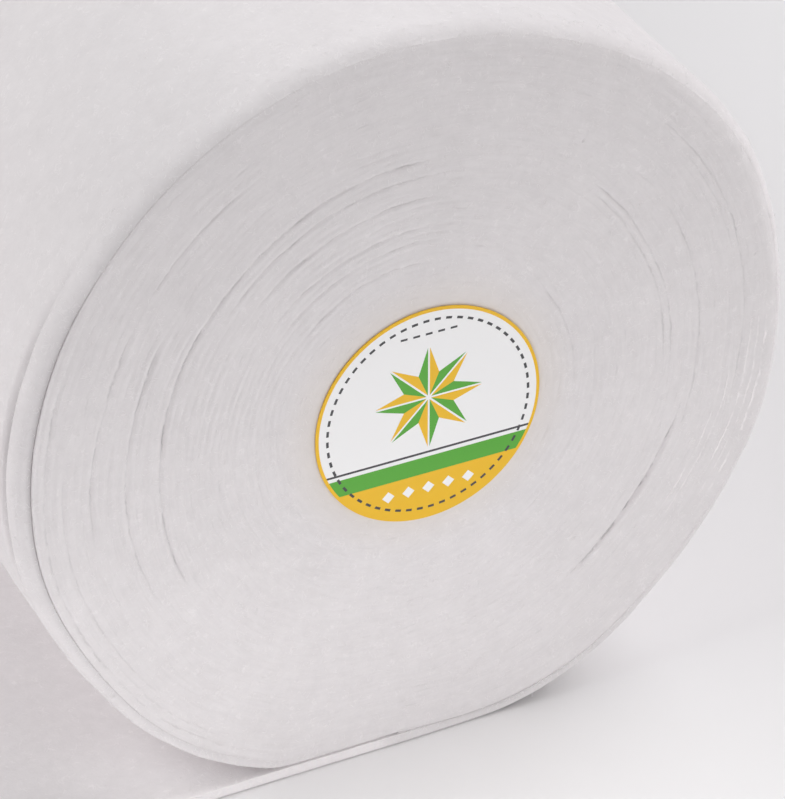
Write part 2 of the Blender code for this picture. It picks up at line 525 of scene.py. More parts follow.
def turn_relief(layer, across_share):
    """How far the fine turns lie behind the end: each its own way, with a groove at its boundaries."""
    def offset(turns):
        return TURN_OFFSET * wander(turns, 11, TURN_WAVES)

    def groove(turns):
        return TURN_GROOVE * (0.55 + 0.45 * wander(turns, 12, TURN_GROOVE_WAVES))

    top = offset(layer)
    lower_edge = (top + offset(layer - 1.0)) / 2 + groove(layer)
    upper_edge = (top + offset(layer + 1.0)) / 2 + groove(layer + 1.0)
    plateau = np.clip(1.2 * np.sin(np.pi * across_share), 0.0, 1.0)
    edge = np.where(across_share < 0.5, lower_edge, upper_edge)
    return top * plateau + edge * (1.0 - plateau)


def wound_body(name, turns, steps, across, front, finish):
    """The turns under the outermost layer, from one end of the roll to its middle."""
    made, start = wound_strip(name, turns, steps, across, finish)
    raw = places_of(made)
    grid_radius = np.hypot(raw[:, 0], raw[:, 2])
    station = np.round(raw[:, 1]).astype(int)
    degrees, turn, part, across_share = place_in_strip(raw, start, steps, across)
    layer = turn - across_share
    strip = turn - part
    inner_most = turn > turns + 1.5
    side = -1.0 if front else 1.0

    radius = boundary_radius(layer) * (1.0 - across_share) + boundary_radius(layer + 1.0) * across_share
    radius = np.where(inner_most, grid_radius / start * MIDDLE_RADIUS, radius)
    outline = boundary_radius(part)
    outside = outside_radius(part)
    opened = front_edge(part, "openness") if front else np.zeros_like(part)
    edge_shift = outside - free_radius(part) - (front_edge(part, "gap") if front else 0.0)
    depth_share = np.clip(radius / outline, 0.0, 1.0)
    waves = WAVE_DEPTH * round_wander(degrees, 31, WAVE_COUNTS) * wander(radius, 32, WAVE_LENGTHS)
    tight = TIGHT_SHIFT * bell(degrees, TIGHT_ANGLE, TIGHT_WIDTH)
    tight = tight * np.clip(1.0 - ((radius - TIGHT_RADIUS) / TIGHT_REACH) ** 2, 0.0, 1.0)
    calm = eased((outline - radius) / WAVE_EASE)
    radius = radius + edge_shift * depth_share**SWELLING_POWER + (waves - tight) * calm
    from_edge = outline + edge_shift - radius
    flat = np.stack(
        [radius * np.cos(np.radians(degrees)), np.zeros_like(radius), radius * np.sin(np.radians(degrees))],
        axis=1,
    )

    relief = turn_relief(layer, across_share) * turn_strength(flat, radius, degrees, side)
    off_label = eased((radius - LUMPS_FROM) / LUMPS_EASE)
    for row in LUMPS:
        relief += row["depth"] * cloud(flat, row["size"], row["seed"]) * off_label
    relief += HOLLOW_DEPTH * eased((HOLLOW_OUTER_RADIUS - radius) / HOLLOW_SLOPE)
    if front:
        depth, line = groove_relief(degrees, radius / ROLL_RADIUS, strip)
        relief += depth
    else:
        # On the back end shade is painted along the lines between turns, which also sink as shallow grooves
        line = BACK_LINE * np.clip(0.35 + wander(layer, 13, TURN_WAVES), 0.0, 1.0)
        line = line * eased((radius - BACK_FROM) / BACK_EASE)
        relief += BACK_GROOVE * line * (across_share < BACK_STRIP_SHARE)
    relief *= eased(from_edge / RIM_CALM)
    own_edge = rim_setback(from_edge, EDGE_LEAST + EDGE_OF_BODY * opened)
    # Shade painted along the joint with the outermost layer, where it stands open
    line += JOINT_PAINTED_SHADE * opened * np.exp(-((from_edge / JOINT_WIDTH) ** 2))
    whole_rim = rim_setback(outside - radius, rim_rounding(part))
    setback = np.maximum(relief + own_edge + whole_rim, 0.0)

    along = np.array(SIDE_STATIONS)[station]
    reach = setback + (HALF_LENGTH - CLEARANCE / 2 - setback) * np.where(station > 0, along, 0.0)
    set_places(made, np.stack([flat[:, 0], side * (HALF_LENGTH - reach), AXIS_HEIGHT + flat[:, 2]], axis=1))
    # How strongly shade is painted into the lines between turns, for the end's finish
    set_value(made, "groove", np.where(station == 0, line, 0.0))
    face_outwards(made)
    sharpen(made, (station == 0) & (np.abs(strip) < 0.5 / across))
    turn_uv(made, np.where(station == 0, strip, 0.5))
    return made


UV_RADIUS = 0.1


def turn_uv(made, strip):
    """A UV map in metres, along the turns and inwards through them, whole pitches at their boundaries."""
    places = places_of(made)
    corners = corner_points(made)
    counts = np.zeros(len(made.data.polygons), np.int32)
    made.data.polygons.foreach_get("loop_total", counts)
    starts = np.concatenate([[0], np.cumsum(counts)[:-1]])
    around = np.arctan2(places[:, 2] - AXIS_HEIGHT, places[:, 0])[corners]
    first = np.repeat(around[starts], counts)
    around = first + (around - first + math.pi) % math.tau - math.pi
    inwards = strip[corners]
    first = np.repeat(inwards[starts], counts)
    inwards = first + (inwards - first + 0.5) % 1.0 - 0.5
    set_uv(made, around * UV_RADIUS, inwards * WOUND_PITCH)


# The outermost layer and the loose end, one sheet of the web

LOOSE_COLUMNS = 46
TURN_COLUMNS = 330
EDGE_SHARES = (1.0, 0.88, 0.74, 0.56, 0.36, 0.16, 0.0)
PLAIN_OFFSETS = (
    1.2, 2.5, 3.8, 5.1, 6.4, 8, 10, 13, 17, 22, 28, 35, 43, 52, 62, 73, 85, 98, 112,
    128, 145, 163, 182, 202, 223, 245, 268, 292, 317, 343, 370, 397, 424, 450,
)
EDGE_FADE = 0.060
EDGE_WANDER = 0.0006
LOOSE_LENGTH = 0.4
LOOSE_TUCK = 0.003
LOOSE_OPENNESS = 0.12

# Where the web's edge is furthest forward, as a share of its thickness: flush with the turns, and open
TIP_FLUSH = 0.94
TIP_OPEN = 0.50
TIP_LAST = 0.96

# The web's soft lumps, and how far round the roll's underside they leave out
SOFT_LUMPS = table(
    "depth size seed lengthwise crosswise",
    (0.00035, 0.030, 21, 1.0, 0.6),
    (0.00016, 0.009, 22, 1.0, 1.0),
)
UNDERSIDE_DEGREES = 14.0

# How unevenly the loose end was cut off
CUT_DEPTH = 0.0016
CUT_POWER = 6

# Where light is painted onto the loose end: beside the roll, and away from it, less so near its front edge
LOOSE_PAINTED_LIGHT = 0.50
LIGHT_AWAY = 0.62
LIGHT_AWAY_FROM = 0.05
LIGHT_BESIDE_TO = 0.09
LIGHT_EDGE_SHARE = 0.3
LIGHT_EDGE_Y = 0.41
LIGHT_EASE = 0.07


def rise(x, y):
    """How far the loose end lifts off the floor."""
    total = np.zeros_like(x)
    for row in RISES:
        reach = np.hypot((x - row["x"]) / row["half_x"], (y - row["y"]) / row["half_y"])
        total += row["height"] * eased(1.0 - reach)
    return total


def outer_web(finish):
    """One sheet of the web: the loose end on the floor, then once round the roll, thin where it ends."""
    half = len(EDGE_SHARES) + len(PLAIN_OFFSETS)
    rows = 2 * half - 2
    columns = LOOSE_COLUMNS + TURN_COLUMNS
    mesh = bmesh.new()
    bmesh.ops.create_grid(mesh, x_segments=columns, y_segments=rows, size=0.5)
    grown = bmesh.ops.extrude_face_region(mesh, geom=mesh.faces[:])["geom"]
    for point in grown:
        if isinstance(point, bmesh.types.BMVert):
            point.co.z += 1.0
    made = new_object("outer_web", mesh, finish)
    raw = places_of(made)

    column = np.round((raw[:, 0] + 0.5) * columns).astype(int)
    row = np.round((raw[:, 1] + 0.5) * rows).astype(int)
    front = row < half
    from_edge = np.where(front, row, rows - row)
    edge_shares = np.array(EDGE_SHARES + (0.0,) * len(PLAIN_OFFSETS))[from_edge]
    offsets = np.array((0.0,) * len(EDGE_SHARES) + PLAIN_OFFSETS)[from_edge] / 1000
    inner = raw[:, 2] > 0.5

    seam_x = -AXIS_HEIGHT / math.tan(math.radians(SEAM_DEGREES))
    loose = column < LOOSE_COLUMNS
    part = np.clip((column - LOOSE_COLUMNS) / TURN_COLUMNS, 0.0, 1.0)
    out = np.clip(1.0 - column / LOOSE_COLUMNS, 0.0, 1.0)
    floor_x = seam_x + (LOOSE_LOW.x + LOOSE_TUCK - seam_x) * out
    degrees = SEAM_DEGREES + 360.0 * part

    along_length = np.where(front, -HALF_LENGTH + offsets, HALF_LENGTH - offsets)
    from_front = (along_length / HALF_LENGTH + 1.0) / 2
    slack_share = 1.0 - (1.0 - BACK_SHARE) * from_front
    radius = outside_radius(part) + front_edge(part, "gap") * (slack_share - 1.0)

    settle_in = np.where(loose, 0.0, eased(part / THINNING_TO))
    thick_lip = np.maximum(front_edge(part, "gap") - LEFT_GAP, 0.0)
    thick_lip *= 1.0 - eased(offsets / THICK_LIP_REACH)
    thickness = outer_thickness(part) + np.where(front, thick_lip, 0.0)
    rounding = rim_rounding(part)
    opened = np.where(front, front_edge(part, "openness"), BACK_OPENNESS)
    opened = LOOSE_OPENNESS + (np.clip(opened, 0.0, 1.0) - LOOSE_OPENNESS) * settle_in
    recess = front_edge(part, "recess") * np.where(front, 1.0, BACK_RECESS)
    path = np.where(loose, -out * LOOSE_LENGTH, part * math.tau * ROLL_RADIUS)
    recess = recess * settle_in + EDGE_WANDER * opened * (1.0 + wander(path, 41, (0.05, 0.11, 0.23)))
    lip = np.where(front & ~loose, bell(degrees, LIP_ANGLE, LIP_WIDTH), 0.0)

    tip = TIP_FLUSH + (TIP_OPEN - TIP_FLUSH) * opened
    lens = np.where(inner, (TIP_LAST - tip) * edge_shares**2, tip * edge_shares**2)
    depth_share = np.where(inner, 1.0 - lens, lens)
    depth = thickness * depth_share
    edge_zone = edge_shares > 0.0
    profile = rim_setback(depth, rounding) + lip * LIP_SLOPE * (1.0 - depth_share)
    own_edge = EDGE_LEAST + EDGE_OF_WEB * opened
    in_edge = profile + np.where(inner, own_edge * (1.0 - edge_shares) ** 2, 0.0)
    start = np.where(inner, rim_setback(thickness, rounding) + own_edge, rounding + lip * LIP_SLOPE)
    fading = 1.0 - eased(offsets / EDGE_FADE)
    setback = np.where(edge_zone, in_edge, offsets + start * fading) + recess * fading
    y = np.where(front, -1.0, 1.0) * (HALF_LENGTH - setback)
    behind = setback - recess * fading
    hollow = np.exp(-(((behind - LIP_HOLLOW_FROM_EDGE) / LIP_HOLLOW_WIDTH) ** 2))
    flare = LIP_FLARE * eased(1.0 - behind / LIP_HOLLOW_FROM_EDGE) - LIP_HOLLOW * hollow
    flare = np.where(inner, 0.0, flare) * lip

    # Painted shade in the hollow behind the lip and along the open joint of the front edge
    painted_shading = lip * np.exp(-(((behind - LIP_HOLLOW_FROM_EDGE) / LIP_CREASE_WIDTH) ** 2))
    joint = np.exp(-(((thickness - depth) / JOINT_WIDTH) ** 2))
    painted_shading += np.where(front & ~loose & edge_zone, opened * joint, 0.0)

    flat = np.stack([path, y, np.zeros_like(y)], axis=1)
    soft = np.zeros_like(path)
    for lumps in SOFT_LUMPS:
        stretch = np.array([lumps["lengthwise"], lumps["crosswise"], 1.0])
        soft += lumps["depth"] * cloud(flat * stretch, lumps["size"], lumps["seed"])
    off_underside = eased(np.abs(apart(degrees, -90.0)) / UNDERSIDE_DEGREES - 0.9)
    soft *= np.where(loose, inner, off_underside * ~inner)

    lift = rise(floor_x, y)
    surface = radius - depth + soft + flare
    wheel_x = surface * np.cos(np.radians(degrees))
    wheel_z = AXIS_HEIGHT + surface * np.sin(np.radians(degrees))
    cut = CUT_DEPTH * out**CUT_POWER * wander(y, 44, (0.03, 0.07, 0.19))
    places = np.stack(
        [
            np.where(loose, floor_x + cut, wheel_x),
            y,
            np.where(loose, np.maximum(lift + depth + soft * (1.0 - lens), 0.0), wheel_z),
        ],
        axis=1,
    )
    set_places(made, places)
    face_outwards(made)
    made.data.set_sharp_from_angle(angle=SHARP_ANGLE)
    # Painted light on the loose end, beside the roll and further away from it, less near its front edge, as
    # negative painted shading
    past_edge = eased((y + LIGHT_EDGE_Y) / LIGHT_EASE)
    away = LIGHT_AWAY * eased((-floor_x - LIGHT_AWAY_FROM) / LIGHT_EASE)
    away *= LIGHT_EDGE_SHARE + (1.0 - LIGHT_EDGE_SHARE) * past_edge
    beside = 1.0 - eased((-floor_x - LIGHT_BESIDE_TO) / LIGHT_EASE)
    painted_shading -= np.where(loose, LOOSE_PAINTED_LIGHT * np.maximum(away, beside), 0.0)
    set_value(made, "painted_shading", np.where(edge_zone | loose | ~inner, painted_shading, 0.0))
    corners = corner_points(made)
    set_uv(made, path[corners], y[corners])
    return made


# Finishes

FLEECE_SURFACE = {
    "Roughness": 0.95,
    "Specular IOR Level": 0.15,
    "Sheen Weight": 0.20,
    "Sheen Roughness": 0.6,
}
FLEECE_DARK = (0.655, 0.625, 0.634, 1.0)
FLEECE_LIGHT = (0.885, 0.852, 0.862, 1.0)
LABEL_TINT = (0.760, 0.700, 0.655, 1.0)
TINT_WIDTH = 0.018
TINT_SHARE = 0.45
# The fine lines between turns: their half width, how much shade is painted into them, and how far they sink
# in the bump
LINE_HALF_WIDTH = 0.00032
LINE_PAINTED_SHADE = 0.16
LINE_SINKING = 0.9
# How much the web's painted shading darkens it, or lightens it where negative
CREASE_PAINTED_SHADE = 0.28
BUMP_HEIGHT = 0.0006

# The fleece's textures, in lumps per metre, and how much each counts in its tone and in its height
FLEECE_NOISES = table(
    "layer scale detail roughness distortion",
    ("clouds", 30.0, 3.0, 0.55, 0.0),
    ("lumps", 170.0, 3.0, 0.60, 0.5),
    ("fine", 850.0, 4.0, 0.65, 0.4),
)
FLEECE_HAIRS = table(
    "layer scale distortion half_width",
    ("light_hairs", 250.0, 1.8, 0.055),
    ("dark_hairs", 290.0, 1.4, 0.065),
)
STREAKS_ALONG = 90.0
STREAKS_ACROSS = 620.0
TONE_SHARES = {
    "clouds": 0.30,
    "lumps": 0.34,
    "fine": 0.23,
    "streaks": 0.32,
    "light_hairs": 0.22,
    "dark_hairs": -0.05,
}
HEIGHT_SHARES = {"fine": 0.35, "lumps": 0.90, "streaks": 0.50, "light_hairs": 0.20}


def new_node(tree, kind, entries, **settings):
    """A shader node with settings, whose inputs each get a value or another node's output."""
    made = tree.nodes.new(f"ShaderNode{kind}")
    for name, value in settings.items():
        setattr(made, name, value)
    for name, value in entries.items():
        if isinstance(value, bpy.types.NodeSocket):
            tree.links.new(value, made.inputs[name])
        else:
            made.inputs[name].default_value = value
    return made


def maths(tree, operation, *values):
    """A Math node fed by numbers or sockets. Returns its output."""
    return new_node(tree, "Math", dict(enumerate(values)), operation=operation).outputs[0]


def ramp(tree, value, low, high, at_low, at_high):
    """A smooth step: at_low where value is low, at_high where it is high, and held beyond them."""
    entries = {"Value": value, "From Min": low, "From Max": high, "To Min": at_low, "To Max": at_high}
    return new_node(tree, "MapRange", entries, interpolation_type="SMOOTHSTEP").outputs["Result"]


# The Mix node's sockets for colours
MIX_FIRST, MIX_SECOND = 6, 7
MIX_RESULT = 2


def blend(tree, factor, first, second):
    """Two colours mixed. Each is a colour or a socket."""
    entries = {"Factor": factor, MIX_FIRST: first, MIX_SECOND: second}
    return new_node(tree, "Mix", entries, data_type="RGBA").outputs[MIX_RESULT]


def noise_texture(tree, vector, scale, detail=3.0, roughness=0.55, distortion=0.0):
    """Noise from -0.5 to 0.5. scale is in lumps per metre."""
    entries = {"Vector": vector, "Scale": scale, "Detail": detail, "Roughness": roughness}
    made = new_node(tree, "TexNoise", {**entries, "Distortion": distortion})
    return maths(tree, "SUBTRACT", made.outputs["Fac"], 0.5)


def stretched(tree, vector, along, across):
    entries = {"Vector": vector, "Scale": (along, across, 1.0)}
    return new_node(tree, "Mapping", entries).outputs["Vector"]


def new_group(name, entries, exits):
    """A shader node group with named sockets. Returns its tree, its input node and its output node."""
    tree = bpy.data.node_groups.new(name, "ShaderNodeTree")
    for socket, kind in entries.items():
        tree.interface.new_socket(socket, in_out="INPUT", socket_type=f"NodeSocket{kind}")
    for socket, kind in exits.items():
        tree.interface.new_socket(socket, in_out="OUTPUT", socket_type=f"NodeSocket{kind}")
    return tree, tree.nodes.new("NodeGroupInput"), tree.nodes.new("NodeGroupOutput")


def curly_hairs(tree, place, scale, distortion, half_width):
    """Short curly fibres: thin lines where a warped noise crosses its middle, broken by a second noise."""
    lines = noise_texture(tree, place, scale, detail=0.5, distortion=distortion)
    line = ramp(tree, maths(tree, "ABSOLUTE", lines), 0.0, half_width, 1.0, 0.0)
    gate = ramp(tree, noise_texture(tree, place, scale * 0.8, detail=1.0), 0.04, 0.12, 0.0, 1.0)
    return maths(tree, "MULTIPLY", line, gate)


def fleece_group():
    """Needled fibres: a height, and a tone from 0 to 1, that change over the surface."""
    entries = {"Place": "Vector", "Web": "Vector", "Streaks": "Float"}
    tree, entry, leaving = new_group("needled_fleece", entries, {"Height": "Float", "Tone": "Float"})
    place = entry.outputs["Place"]
    layers = {}
    for row in FLEECE_NOISES:
        settings = (row["detail"], row["roughness"], row["distortion"])
        layers[row["layer"]] = noise_texture(tree, place, row["scale"], *settings)
    for row in FLEECE_HAIRS:
        layers[row["layer"]] = curly_hairs(tree, place, row["scale"], row["distortion"], row["half_width"])
    along = stretched(tree, entry.outputs["Web"], STREAKS_ALONG, STREAKS_ACROSS)
    streaks = noise_texture(tree, along, 1.0, detail=2.0, roughness=0.6, distortion=0.6)
    layers["streaks"] = maths(tree, "MULTIPLY", streaks, entry.outputs["Streaks"])
    for name, total, shares in (("Tone", 0.5, TONE_SHARES), ("Height", 0.0, HEIGHT_SHARES)):
        for layer, share in shares.items():
            total = maths(tree, "MULTIPLY_ADD", layers[layer], share, total)
        tree.links.new(total, leaving.inputs[name])
    return tree


def turn_lines_group():
    """The fine lines of painted shade between turns. Line is 1 in a clear groove, and below 0 on a ridge of
    fibres, where light is painted instead.
    """
    entries = {"Place": "Vector", "Web": "Vector", "Groove": "Float"}
    tree, entry, leaving = new_group("turn_lines", entries, {"Line": "Float"})
    place = entry.outputs["Place"]
    parts = new_node(tree, "SeparateXYZ", {0: entry.outputs["Web"]})
    inwards = parts.outputs["Y"]
    for scale, detail, shift in ((95.0, 1.0, 0.0016), (380.0, 2.0, 0.0012)):
        warp = noise_texture(tree, place, scale, detail=detail)
        inwards = maths(tree, "MULTIPLY_ADD", warp, shift, inwards)
    away = maths(tree, "PINGPONG", inwards, WOUND_PITCH / 2)
    line = ramp(tree, away, LINE_HALF_WIDTH * 0.3, LINE_HALF_WIDTH * 1.6, 1.0, 0.0)
    patches = stretched(tree, entry.outputs["Web"], 55.0, 1 / WOUND_PITCH)
    faint = ramp(tree, noise_texture(tree, patches, 1.0, detail=1.0), 0.0, 0.30, 0.0, 0.50)
    broken = ramp(tree, noise_texture(tree, place, 190.0, detail=1.0), -0.12, 0.12, 0.15, 1.0)
    strength = maths(tree, "MULTIPLY", maths(tree, "ADD", faint, entry.outputs["Groove"]), broken)
    tree.links.new(maths(tree, "MULTIPLY", line, strength), leaving.inputs["Line"])
    return tree


def scaled_colour(tree, colour, factor):
    return new_node(tree, "VectorMath", {0: colour, "Scale": factor}, operation="SCALE").outputs["Vector"]


def attribute(tree, name):
    return new_node(tree, "Attribute", {}, attribute_name=name).outputs["Fac"]


def bump(tree, height, strength, distance):
    entries = {"Height": height, "Strength": strength, "Distance": distance}
    return new_node(tree, "Bump", entries).outputs["Normal"]


def new_finish(name, settings):
    """A material, its node tree, and its shader's inputs, some of which are set."""
    made = bpy.data.materials.new(name)
    made.use_nodes = True
    entries = made.node_tree.nodes["Principled BSDF"].inputs
    for entry, value in settings.items():
        entries[entry].default_value = value
    return made, made.node_tree, entries


def batting_finish(name, fleece, streaks, bump_strength, turn_lines=None):
    """Soft white polyester, matt, with a faint sheen: the roll's end if it has turn_lines, else the web."""
    made, tree, entries = new_finish(name, FLEECE_SURFACE)
    places = new_node(tree, "TexCoord", {})
    place, web = places.outputs["Object"], places.outputs["UV"]
    both = {"Place": place, "Web": web}
    fibres = new_node(tree, "Group", {**both, "Streaks": streaks}, node_tree=fleece)
    height = fibres.outputs["Height"]
    shade = blend(tree, fibres.outputs["Tone"], FLEECE_DARK, FLEECE_LIGHT)
    if turn_lines:
        groove = attribute(tree, "groove")
        lines = new_node(tree, "Group", {**both, "Groove": groove}, node_tree=turn_lines)
        line = lines.outputs["Line"]
        # The lines between turns sink into the bump, and shade is painted into their colour, light on ridges
        height = maths(tree, "MULTIPLY_ADD", line, -LINE_SINKING, height)
        shade = scaled_colour(tree, shade, maths(tree, "MULTIPLY_ADD", line, -LINE_PAINTED_SHADE, 1.0))
        middle = (LABEL_X, LABEL_LOW.y, LABEL_Z)
        off = new_node(tree, "VectorMath", {0: place, 1: middle}, operation="DISTANCE").outputs["Value"]
        ring = ramp(tree, off, LABEL_RADIUS, LABEL_RADIUS + TINT_WIDTH, TINT_SHARE, 0.0)
        shade = blend(tree, ring, shade, LABEL_TINT)
    else:
        # Shade painted into the web's creases and open joint, and light painted onto the loose end
        darker = maths(tree, "MULTIPLY_ADD", attribute(tree, "painted_shading"), -CREASE_PAINTED_SHADE, 1.0)
        shade = scaled_colour(tree, shade, darker)
    tree.links.new(shade, entries["Base Color"])
    tree.links.new(bump(tree, height, bump_strength, BUMP_HEIGHT), entries["Normal"])
    return made


def flat_finish(name, colour, roughness):
    return new_finish(name, {"Base Color": colour, "Roughness": roughness})[0]


# The label's colours, and its design in label radii from its middle
PAPER_SURFACE = {"Roughness": 0.42, "Specular IOR Level": 0.45}
PAPER_BUMP = 0.25
PAPER_BUMP_HEIGHT = 0.001
PAPER_WHITE = (0.905, 0.900, 0.905, 1.0)
PRINT_AMBER = (0.860, 0.500, 0.004, 1.0)
PRINT_GREEN = (0.085, 0.390, 0.026, 1.0)
PRINT_DARK = (0.045, 0.045, 0.050, 1.0)
STAR_TIP = 0.50
STAR_VALLEY = 0.24
STAR_UP = 0.17
STAR_POINTS = 8
STAR_SEAM = 0.008
SEGMENT_TOP = -0.56
BAND_TOP = -0.40
RULE_ABOVE = (0.035, 0.055)
STITCH_RING = (0.885, 0.908)
STITCHES = 56.0
RIM_FROM = 0.972
GEESE_UP = -0.70
GOOSE_HALF_PITCH = 0.09
GOOSE_SIZE = 0.055
GEESE_HALF_WIDTH = 0.44
TICKS_UP = (0.765, 0.785)
TICK_HALF_PITCH = 0.055
TICK_HALF_LENGTH = 0.030
TICKS_HALF_WIDTH = 0.27
ROW_SHIFT = 3.96


def label_finish():
    """Printed coated paper: an eight-pointed patchwork star over an amber foot, in a ring of stitches."""
    made, tree, entries = new_finish("label_print", PAPER_SURFACE)
    place = new_node(tree, "TexCoord", {}).outputs["Object"]
    parts = new_node(tree, "SeparateXYZ", {0: place})
    calc = partial(maths, tree)

    def polar(across, up):
        squares = calc("MULTIPLY_ADD", across, across, calc("MULTIPLY", up, up))
        return calc("SQRT", squares), calc("ARCTAN2", up, across)

    def within(value, low, high):
        above = calc("GREATER_THAN", value, low)
        return calc("MULTIPLY", above, calc("LESS_THAN", value, high))

    def in_row(shape, half_width):
        """Keeps a repeated shape where it is nearer than half_width to the middle."""
        near = calc("LESS_THAN", calc("ABSOLUTE", across), half_width)
        return calc("MULTIPLY", shape, near)

    across = calc("DIVIDE", calc("SUBTRACT", parts.outputs["X"], LABEL_X), LABEL_RADIUS)
    up = calc("DIVIDE", calc("SUBTRACT", parts.outputs["Z"], LABEL_Z), LABEL_RADIUS)
    radius, angle = polar(across, up)

    half_sector = math.pi / STAR_POINTS
    star_radius, star_angle = polar(across, calc("SUBTRACT", up, STAR_UP))
    folded = calc("PINGPONG", star_angle, half_sector)
    out = calc("MULTIPLY", star_radius, calc("COSINE", folded))
    aside = calc("MULTIPLY", star_radius, calc("SINE", folded))
    run = STAR_VALLEY * math.cos(half_sector) - STAR_TIP
    climb = STAR_VALLEY * math.sin(half_sector)
    side = calc("MULTIPLY", calc("SUBTRACT", out, STAR_TIP), -climb)
    star = calc("GREATER_THAN", calc("MULTIPLY_ADD", aside, run, side), 0.0)
    turned = calc("MULTIPLY", star_angle, float(STAR_POINTS))
    green_half = calc("GREATER_THAN", calc("SINE", turned), 0.0)
    seam = calc("LESS_THAN", aside, STAR_SEAM)

    foot = calc("LESS_THAN", up, SEGMENT_TOP)
    band = within(up, SEGMENT_TOP, BAND_TOP)
    rule = within(up, BAND_TOP + RULE_ABOVE[0], BAND_TOP + RULE_ABOVE[1])
    stitch = calc("SINE", calc("MULTIPLY", angle, STITCHES))
    stitch = calc("GREATER_THAN", stitch, -0.1)
    stitches = calc("MULTIPLY", within(radius, *STITCH_RING), stitch)
    rim = calc("GREATER_THAN", radius, RIM_FROM)
    shifted = calc("ADD", across, ROW_SHIFT)
    goose_across = calc("PINGPONG", shifted, GOOSE_HALF_PITCH)
    goose_up = calc("ABSOLUTE", calc("SUBTRACT", up, GEESE_UP))
    goose = calc("LESS_THAN", calc("ADD", goose_across, goose_up), GOOSE_SIZE)
    goose = in_row(goose, GEESE_HALF_WIDTH)
    tick = calc("LESS_THAN", calc("PINGPONG", shifted, TICK_HALF_PITCH), TICK_HALF_LENGTH)
    ticks = in_row(calc("MULTIPLY", tick, within(up, *TICKS_UP)), TICKS_HALF_WIDTH)

    petals = blend(tree, green_half, PRINT_AMBER, PRINT_GREEN)
    petals = blend(tree, seam, petals, PAPER_WHITE)
    shade = PAPER_WHITE
    for where, print_colour in (
        (foot, PRINT_AMBER),
        (band, PRINT_GREEN),
        (rule, PRINT_DARK),
        (goose, PAPER_WHITE),
        (star, petals),
        (stitches, PRINT_DARK),
        (ticks, PRINT_DARK),
        (rim, PRINT_AMBER),
    ):
        shade = blend(tree, where, shade, print_colour)
    tree.links.new(shade, entries["Base Color"])

    wave = noise_texture(tree, place, 45.0, detail=1.0)
    grain = noise_texture(tree, place, 2500.0, detail=2.0)
    height = calc("MULTIPLY_ADD", grain, 0.04, wave)
    tree.links.new(bump(tree, height, PAPER_BUMP, PAPER_BUMP_HEIGHT), entries["Normal"])
    return made


# The label

LABEL_SIDES = 144
LABEL_EDGE = 0.0006


def end_label(finish):
    """A thin round paper with a rounded edge, lying on the flat of the hollow."""
    mesh = bmesh.new()
    front = LABEL_LOW.y
    thickness = LABEL_HIGH.y - LABEL_LOW.y
    made = bmesh.ops.create_circle(mesh, cap_ends=True, segments=LABEL_SIDES, radius=LABEL_RADIUS)
    for point in made["verts"]:
        point.co = (LABEL_X + point.co.x, front + thickness, LABEL_Z + point.co.y)
    grown = bmesh.ops.extrude_face_region(mesh, geom=mesh.faces[:])["geom"]
    top = [item for item in grown if isinstance(item, bmesh.types.BMFace)]
    for point in grown:
        if isinstance(point, bmesh.types.BMVert):
            point.co.y = front
    bmesh.ops.inset_region(mesh, faces=top, thickness=LABEL_EDGE, depth=0.0)
    bmesh.ops.recalc_face_normals(mesh, faces=mesh.faces)
    label = new_object("paper_label", mesh, finish)
    label.data.set_sharp_from_angle(angle=SHARP_ANGLE)
    return label


# Loose fibres

FIBRE_RADIUS = 0.00008
FIBRE_POINTS = 5
FIBRE_CURL = 2.6
FIBRE_COLOUR = (0.90, 0.88, 0.885, 1.0)
FIBRES = table(
    "name count lengths lift seeds",
    ("face_fibres", 3000, (0.0010, 0.0034), 0.03, (61, 62)),
    ("rim_fibres", 2600, (0.0010, 0.0032), 0.25, (63, 64)),
    ("side_fibres", 2600, (0.0012, 0.0036), 0.04, (65, 66)),
)

# Where they grow: off the label and the floor, and within so much of the front end, or off both ends
BARE_BY_LABEL = 0.004
BARE_BY_FLOOR = 0.004
FACE_BAND = 0.012
RIM_BAND = 0.010
SIDE_INSET = 0.004


def fibre_tuft(name, anchors, outwards, lengths, lift, seed, finish):
    """Short curled fibres as one curve object: each starts at an anchor and bends along the surface.

    outwards is each anchor's direction off the surface, and lift how steeply the fibres rise from it."""
    random = np.random.default_rng(seed)
    data = bpy.data.curves.new(name, "CURVE")
    data.dimensions = "3D"
    data.bevel_depth = FIBRE_RADIUS
    data.bevel_resolution = 0
    data.use_fill_caps = True
    count = len(anchors)
    length = random.uniform(*lengths, count)
    heading = random.normal(size=(count, 3))
    heading -= outwards * np.sum(heading * outwards, axis=1, keepdims=True)
    heading /= np.linalg.norm(heading, axis=1, keepdims=True)
    aside = np.cross(outwards, heading)
    curl = random.uniform(-FIBRE_CURL, FIBRE_CURL, count)
    rise = random.uniform(0.3, 1.0, count) * lift
    for number in range(count):
        line = data.splines.new("POLY")
        line.points.add(FIBRE_POINTS - 1)
        share = np.linspace(0.0, 1.0, FIBRE_POINTS)
        bend = curl[number] * share
        ahead = np.cumsum(np.cos(bend)) / FIBRE_POINTS * length[number]
        sideways = np.cumsum(np.sin(bend)) / FIBRE_POINTS * length[number]
        up = FIBRE_RADIUS + rise[number] * length[number] * np.sin(np.pi * share * 0.8)
        places = anchors[number] + np.outer(ahead, heading[number])
        places += np.outer(sideways, aside[number]) + np.outer(up, outwards[number])
        line.points.foreach_set("co", np.hstack([places, np.ones((FIBRE_POINTS, 1))]).ravel())
        line.points.foreach_set("radius", 1.0 - 0.7 * share)
    data.materials.append(finish)
    made = placed(name, data)
    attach(made, "root")


